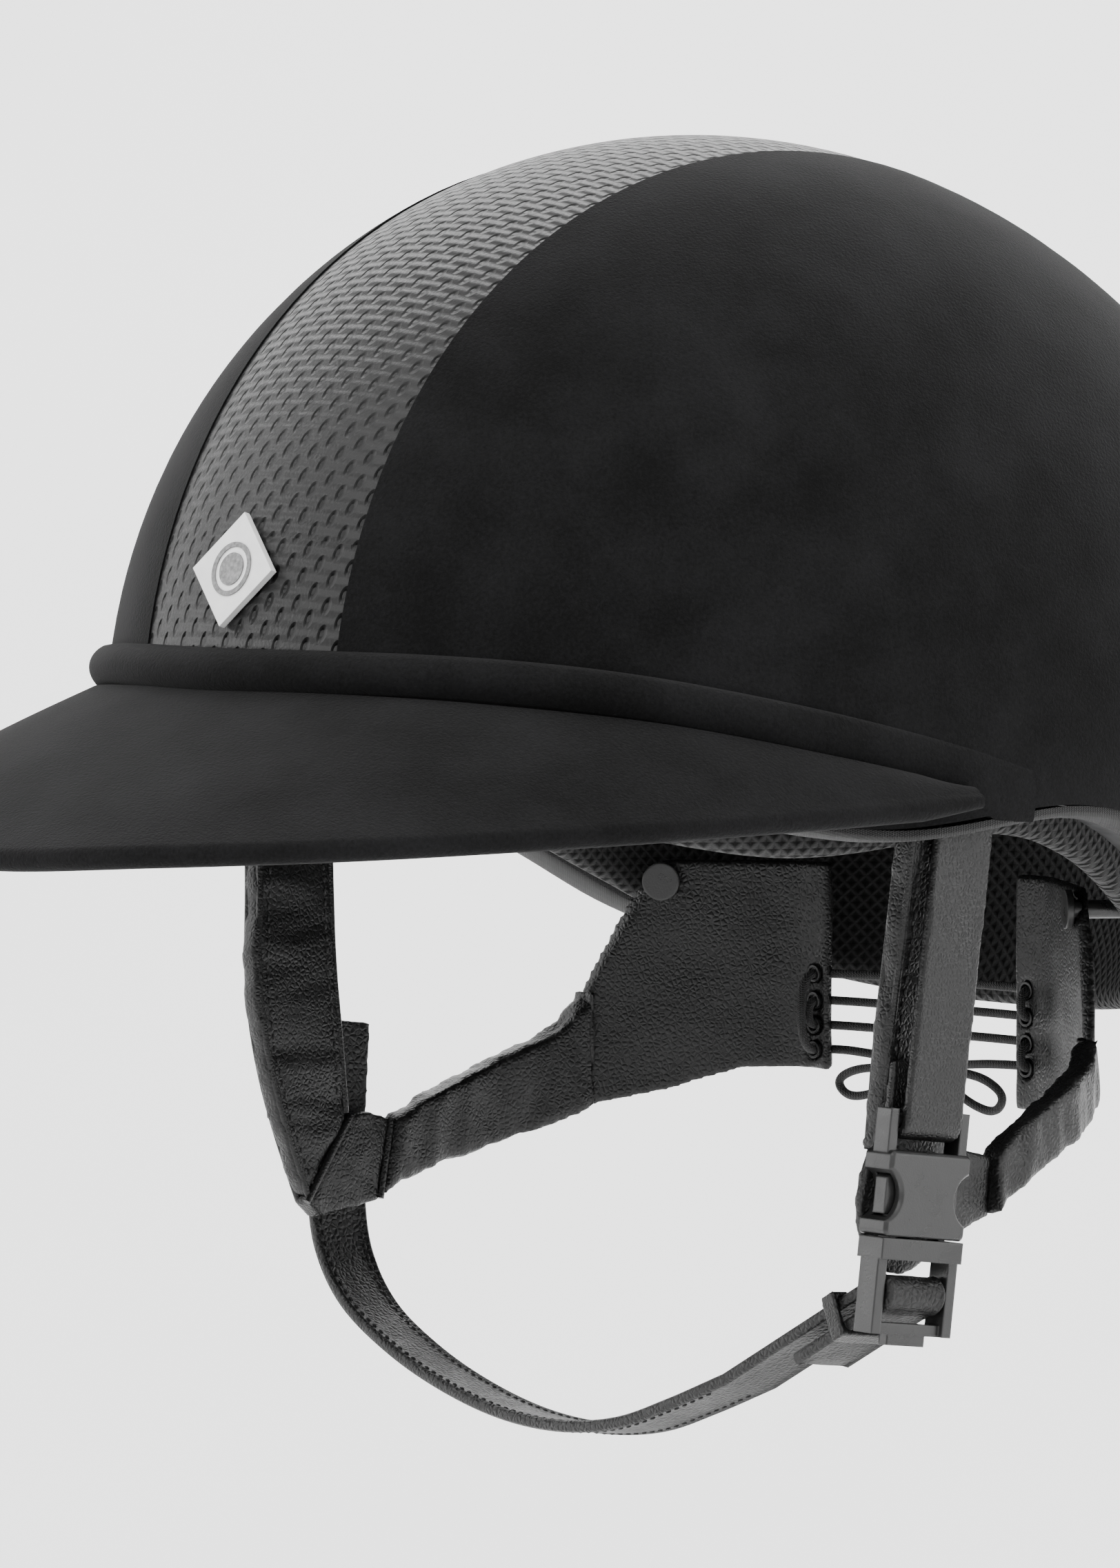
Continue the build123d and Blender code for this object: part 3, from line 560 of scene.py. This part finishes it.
def on_dome(axes, growth, turn, height, rise=0.0):
    """Point on a grown ellipsoid, in a direction round the head, at a height given by Y."""
    a, b, c = (axis + growth for axis in axes)
    cos_t, sin_t = math.cos(DOME_TILT), math.sin(DOME_TILT)
    dx, dy = math.sin(turn), -math.cos(turn)
    reach = 110.0
    for _ in range(10):
        z = height(reach * dy) + rise
        u1, u0 = dy * cos_t, -z * sin_t
        v1, v0 = dy * sin_t, z * cos_t
        qa = (dx / a) ** 2 + (u1 / b) ** 2 + (v1 / c) ** 2
        qb = 2 * (u1 * u0 / b ** 2 + v1 * v0 / c ** 2)
        qc = (u0 / b) ** 2 + (v0 / c) ** 2 - 1
        reach = (-qb + math.sqrt(qb * qb - 4 * qa * qc)) / (2 * qa)
    return Vector((reach * dx, reach * dy, height(reach * dy) + rise)) * MM


def on_liner(turn, rise, growth):
    return on_dome(LINER_IN, growth, turn, rim_height, rise)


def build_roll():
    """Suede roll over the peak, full in front and flatter towards its rear ends."""
    grid = []
    stations = 130
    for k in range(stations + 1):
        turn = math.radians(-77 + 154 * k / stations)
        aft = min(max((abs(math.degrees(turn)) - 44) / 30, 0.0), 1.0)
        proud = 4.4 * (1 - 0.78 * aft * aft * (3 - 2 * aft))
        row = []
        for i in range(17):
            share = i / 16

            def height(y, share=share):
                return roll_groove(y) * (1 - share) + roll_top(y) * share
            bulge = math.sin(math.pi * min(max(share, 0.0), 1.0)) ** 0.45 if 0 < share < 1 else 0.0
            row.append(on_dome(DOME, proud * bulge - 0.2, turn, height))
        grid.append(row)
    roll = sheet_mesh("brim_roll", grid, SUEDE)
    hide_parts("brim_band")


def build_rim_edge():
    """Bound lower edge of the shell, rounded over."""
    grid = []
    steps = 220
    for k in range(steps):
        turn = 2 * math.pi * k / steps
        row = [on_dome(DOME, -0.3, turn, rim_height, -0.2), on_dome(DOME, -0.1, turn, rim_height, -1.4)]
        for i in range(1, 6):
            angle = math.pi * i / 6
            share = (1 - math.cos(angle)) / 2
            outer = on_dome(DOME, -0.3, turn, rim_height, -1.6 - 1.3 * math.sin(angle))
            inner = on_liner(turn, -1.6 - 1.3 * math.sin(angle), 10.2)
            row.append(outer.lerp(inner, share))
        row.append(on_liner(turn, -0.4, 10.2))
        grid.append(row)
    edge = sheet_mesh("rim_edge", grid, BINDING, close_rows=True)
    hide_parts("rim_binding")


build_roll()
build_rim_edge()


def build_headband():
    """Knit-covered foam ring, rounded at its lower edge and lightly quilted."""
    grid = []
    steps = 200
    for k in range(steps):
        turn = 2 * math.pi * k / steps
        row = []
        for i in range(15):
            rise = 35.5 - 37.5 * i / 14
            puff = 0.5 * math.sin(math.pi * i / 14) + 0.25 * noise.noise(Vector((turn * 14, rise * 0.2, 3)))
            row.append(on_liner(turn, rise, -8.4 - 0.4 * puff))
        for i in range(1, 8):
            angle = math.pi * i / 8
            row.append(on_liner(turn, -2.0 - 5.0 * math.sin(angle), -4.3 - 4.1 * math.cos(angle)))
        for i in range(4):
            row.append(on_liner(turn, -2.0 + 37.5 * i / 3, -0.2))
        grid.append(row)
    band = sheet_mesh("headband", grid, KNIT, close_rows=True, close_columns=True)
    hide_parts("headband_cover", "headband_foam")


build_headband()

# ---- padded harness ---------------------------------------------------------------
SIDES = {"left": 1, "right": -1}
SLEEVE_X = {"left": 95.5, "right": 97.0}
SLEEVE_SLOPE = {"left": 0.125, "right": 0.09}
SLEEVE_FRONT = {"left": [(-46, -7), (-46.5, -30), (-47.5, -52), (-47, -73)],
                "right": [(-51, -7), (-51.8, -26), (-54.3, -46), (-53.7, -61), (-50, -79), (-43.5, -97)]}
SLEEVE_REAR = {"left": [(-24.5, -7), (-24.8, -30), (-25.2, -52), (-25, -73)],
               "right": [(-28.5, -7), (-29.6, -26), (-30.5, -46), (-29.8, -62), (-29.5, -79)]}


def in_sleeve(side, y, z, out=0.0):
    """Place on a front strap, out millimetres outward of its middle plane."""
    sign, slope = SIDES[side], SLEEVE_SLOPE[side]
    long = math.hypot(1, slope)
    x = SLEEVE_X[side] + slope * (z + 7) + out / long
    return Vector((sign * x, y, z - out * slope / long)) * MM


def inner_edges(side):
    for name, line, shift in (("front", SLEEVE_FRONT, 1), ("rear", SLEEVE_REAR, -1)):
        yield name, line[side], shift


for side in SIDES:
    strap = softened(f"{side}_front_strap", f"{side}_sleeve", PADDED, 1.0 * MM, 7,
                     folds(0.012, 0.0006, (1, 0.5, 1.6), 3.0 + SIDES[side]))
    for edge_name, line, shift in inner_edges(side):
        for face in (-1, 1):
            points = [in_sleeve(side, y + 1.0 * shift, z, 1.9 * face) for y, z in line]
            piped(f"{side}_sleeve_{edge_name}_piping_{'in' if face < 0 else 'out'}", points, 0.8 * MM, STRAP)
            seam = [in_sleeve(side, y + 3.2 * shift, z, 2.6 * face) for y, z in line]
            stitches(f"{side}_sleeve_{edge_name}_stitches_{'in' if face < 0 else 'out'}",
                     smooth_line(seam, 12), strap)

for side in SIDES:
    knuckle = softened(f"{side}_junction", f"{side}_joint_pad", PADDED, 0.8 * MM, 7,
                       folds(0.008, 0.0004, (1, 1, 1), 7.0))
    arm = softened(f"{side}_rear_strap", f"{side}_arm", PADDED, 1.0 * MM, 7,
                   folds(0.009, 0.0009, (1.6, 1.6, 0.5), 11.0 + SIDES[side]))
    flap = softened(f"{side}_nape_flap", f"{side}_flap", PADDED, 0.8 * MM, 5,
                    folds(0.014, 0.0003, (1, 1, 1), 17.0))

pad = softened("buckle_guard_pad", "guard_pad", PADDED, 0.6 * MM, 8, folds(0.012, 0.0002))
facing = softened("left_strap_facing", "strap_facing", STRAP, 0.5 * MM, 5)
anchor = softened("chin_strap_anchor", "chin_anchor", WEBBING, 0.5 * MM, 4)
keeper = softened("strap_keeper", "keeper_loop", STRAP, 0.4 * MM, 4, body="keeper")

# The seams where sleeve, joint pad and arm meet on the far side.
for name, ends in (("sleeve", ((-43.7, -97.5), (-36.5, -88.5), (-29.3, -79.6))),
                   ("arm", ((-22.2, -98.3), (-19.7, -89.7), (-17.3, -81.1)))):
    piped(f"right_{name}_seam", [in_sleeve("right", y, z, -2.2) for y, z in ends], 0.9 * MM, STRAP)

# ---- chin strap -------------------------------------------------------------------
YAW, LEAN = math.radians(4.6), math.radians(7.5)
OUTWARD = Vector((math.cos(YAW), -math.sin(YAW), 0))
WIDTHWISE = OUTWARD.cross(Vector((0, math.sin(LEAN), math.cos(LEAN)))).normalized()
UP = WIDTHWISE.cross(OUTWARD)
MOUTH = Vector((96.0, -44.3, -90.0))
ADJUST_BAR = -11.5
LOOP_R = 2.75
STRAP_ANGLE = math.radians(29.3)
STRAP_CURVE = [(-191.0, 7.0), (-189, -6), (-184, -19), (-173, -30), (-155, -38.5), (-135, -44.5), (-115, -48),
               (-96, -48.5), (-78, -46), (-62, -40.5)]
BAND_SECTION = [(1.0, -6.2), (1.0, -3), (1.05, 0), (1.0, 3), (1.0, 6.2), (1.3, 6.8), (0.9, 7.4), (0, 7.6),
                (-0.9, 7.4), (-1.3, 6.8), (-1.0, 6.2), (-1.0, 3), (-1.05, 0), (-1.0, -3), (-1.0, -6.2),
                (-1.3, -6.8), (-0.9, -7.4), (0, -7.6), (0.9, -7.4), (1.3, -6.8)]


def in_buckle(x, y, z=0.0):
    return (MOUTH + OUTWARD * x + UP * y + WIDTHWISE * z) * MM


def beside_strap(distance, aside):
    """Point beside the straight stretch, measured from the adjusting bar."""
    cos_a, sin_a = math.cos(STRAP_ANGLE), math.sin(STRAP_ANGLE)
    return Vector((-distance * cos_a - aside * sin_a, ADJUST_BAR - distance * sin_a + aside * cos_a, 0))


def build_chin_strap():
    """Leather-covered webbing with corded edges, round the plug's bar and back along itself."""
    line = smooth_line([Vector((x, y, 0)) for x, y in STRAP_CURVE] + [beside_strap(50, LOOP_R)], 8)
    line += [beside_strap(d, LOOP_R) for d in (44, 38, 32, 26, 20, 14, 8, 4, 0)]
    for k in range(1, 12):
        turn = math.radians(90) + STRAP_ANGLE - math.pi * k / 12
        line.append(Vector((LOOP_R * math.cos(turn), ADJUST_BAR + LOOP_R * math.sin(turn), 0)))
    line += [beside_strap(d, -LOOP_R + 0.55 * min(d, 1.0)) for d in (0, 4, 9, 14, 19, 24, 28)]
    grid = []
    for k, point in enumerate(line):
        run = (line[min(k + 1, len(line) - 1)] - line[max(k - 1, 0)]).normalized()
        aside = Vector((-run.y, run.x, 0))
        row = []
        for thick, wide in BAND_SECTION:
            at = point + aside * thick
            row.append(in_buckle(at.x, at.y, wide))
        grid.append(row)
    centre_first = sum(grid[0], Vector()) / len(grid[0])
    centre_last = sum(grid[-1], Vector()) / len(grid[-1])
    grid = [[centre_first] * len(BAND_SECTION)] + grid + [[centre_last] * len(BAND_SECTION)]
    strap = sheet_mesh("chin_webbing", grid, WEBBING, body="chin_strap", close_columns=True)
    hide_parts("chin_strap")
    for name, wide in (("front", -5.4), ("rear", 5.4)):
        for face, lift in (("outer", -1.1), ("inner", 1.1)):
            seam = []
            for k in range(0, 80):
                ahead = (line[k + 1] - line[k]).normalized()
                at = line[k] + Vector((-ahead.y, ahead.x, 0)) * lift
                seam.append(in_buckle(at.x, at.y, wide))
            stitches(f"chin_{name}_{face}_stitches", seam, strap, body="chin_strap")


build_chin_strap()

# ---- lacing -----------------------------------------------------------------------
EYE_X, LEAD = 32.1, 6.0
LACE_OUT, LACE_IN, LACE_BACK = 63.2, 56.9, 54.6
Z1, Z2, Z3, Z4 = -50.0, -56.0, -61.5, -67.0
LACE = [(EYE_X - LEAD, LACE_OUT, Z4), (EYE_X, LACE_OUT, Z4), (EYE_X, LACE_IN, Z4), (EYE_X, LACE_IN, Z3),
        (EYE_X, LACE_OUT, Z3), (-EYE_X, LACE_OUT, Z3), (-EYE_X, LACE_IN, Z3), (-EYE_X, LACE_IN, Z2),
        (-EYE_X, LACE_OUT, Z2), (EYE_X, LACE_OUT, Z2), (EYE_X, LACE_IN, Z2), (EYE_X, LACE_IN, Z1),
        (EYE_X, LACE_OUT, Z1), (-EYE_X, LACE_OUT, Z1), (-EYE_X, LACE_BACK, Z1), (-EYE_X, LACE_BACK, Z4),
        (-EYE_X, LACE_OUT, Z4), (LEAD - EYE_X, LACE_OUT, Z4)]
BOW_TO_LEFT = [(LEAD - EYE_X, LACE_OUT, -67), (-19, 63.6, -67.3), (-11, 65, -68.4), (-3, 66, -69.6),
               (6, 66.4, -70), (13.5, 66.4, -71.2), (18.6, 66.6, -74.6), (15.5, 66.9, -78.6),
               (8.5, 67, -77.2), (2, 66.8, -73.6), (-4.5, 66.4, -71), (-10.2, 66.9, -75.2), (-11, 67, -83),
               (-10, 66.6, -90)]
BOW_TO_RIGHT = [(EYE_X - LEAD, LACE_OUT, -67), (18, 63.6, -67.2), (9, 64.8, -68), (0, 65.6, -69),
                (-9, 65.9, -70.2), (-18, 65.9, -70.4), (-27, 66, -71.5), (-32.6, 66.2, -74.4),
                (-29, 66.4, -78), (-21, 66.6, -76.6), (-13, 66.8, -73.2), (-5, 67.4, -72.6), (1, 68, -77.4),
                (2.6, 67.6, -85), (2, 67, -92)]
CORD_R = 1.0 * MM
for name, route, length, lay, end, extras in (
        ("lace", LACE, 0.2736, "taut", "object", ()),
        ("bow_left_ear", BOW_TO_LEFT, 0.0922, "hanging", "fitting", (nodes["lace_tips"],)),
        ("bow_right_ear", BOW_TO_RIGHT, 0.1096, "hanging", "bare", ())):
    points = [Vector(point) * MM for point in route]
    cord = piped(name + "_cord", points, CORD_R, CORD)
    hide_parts(name)

KNOT = Vector((-4.0, 66.0, -69.8))
wraps = []
for k in range(26):
    turn = 2 * math.pi * k / 10
    wraps.append((KNOT + Vector((-2.2 + 4.4 * k / 25, 1.7 * math.cos(turn), 1.9 * math.sin(turn)))) * MM)
knot = piped("knot_wraps", wraps, CORD_R, CORD)
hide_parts("bow_knot")

# ---- stage -------------------------------------------------------------------------
FLOOR_Z = cad_box[0][2] - 0.15      # clear of the strap when it hangs open


def build_backdrop():
    """Pale sweep: floor towards the camera, rising smoothly behind."""
    back = Vector((-away.x, -away.y, 0)).normalized()
    rows = []
    profile = [(-3.0, 0.0), (0.6, 0.0)]
    for k in range(1, 13):
        angle = math.radians(90 * k / 12)
        profile.append((0.6 + 1.2 * math.sin(angle), 1.2 * (1 - math.cos(angle))))
    profile.append((1.8, 4.0))
    for depth, height in profile:
        rows.append([back * depth + across * width + Vector((0, 0, FLOOR_Z + height)) for width in (-3.5, 3.5)])
    points = [tuple(p) for row in rows for p in row]
    faces = [(2 * i, 2 * i + 1, 2 * i + 3, 2 * i + 2) for i in range(len(rows) - 1)]
    mesh = bpy.data.meshes.new("backdrop")
    mesh.from_pydata(points, [], faces)
    for face in mesh.polygons:
        face.use_smooth = True
    s = Shader("backdrop", Roughness=0.9)
    s.body.inputs["Emission Color"].default_value = (1, 1, 1, 1)
    s.body.inputs["Emission Strength"].default_value = 0.3
    s.colour(s.noise(0.3, 2), (0.86, 0.86, 0.86), (0.9, 0.9, 0.9))
    mesh.materials.append(s.material)
    backdrop = bpy.data.objects.new("backdrop", mesh)
    bpy.context.scene.collection.objects.link(backdrop)


build_backdrop()


def area_light(name, place, aim, size, power):
    data = bpy.data.lights.new(name, "AREA")
    data.shape = "RECTANGLE"
    data.size, data.size_y = size
    data.energy = power
    lamp = bpy.data.objects.new(name, data)
    bpy.context.scene.collection.objects.link(lamp)
    lamp.location = place
    lamp.rotation_euler = (Vector(aim) - Vector(place)).to_track_quat("-Z", "Y").to_euler()


area_light("key", (0.6, -1.6, 1.5), (0, 0, 0.05), (1.6, 1.6), 38)
area_light("left_front", (-1.5, -1.2, 0.7), (0, 0, 0), (1.2, 1.6), 22)
area_light("rim", (1.6, 1.0, 0.7), (0, 0, 0), (0.8, 1.8), 22)
area_light("top", (0.0, 0.0, 1.9), (0, 0, 0), (2.0, 2.0), 18)
area_light("behind", (-1.0, 1.3, 1.6), (-1.2, 1.6, 0.2), (2.5, 1.5), 60)
world = bpy.data.worlds.new("studio")
bpy.context.scene.world = world
world.use_nodes = True
world.node_tree.nodes["Background"].inputs["Color"].default_value = (1, 1, 1, 1)
world.node_tree.nodes["Background"].inputs["Strength"].default_value = 0.9
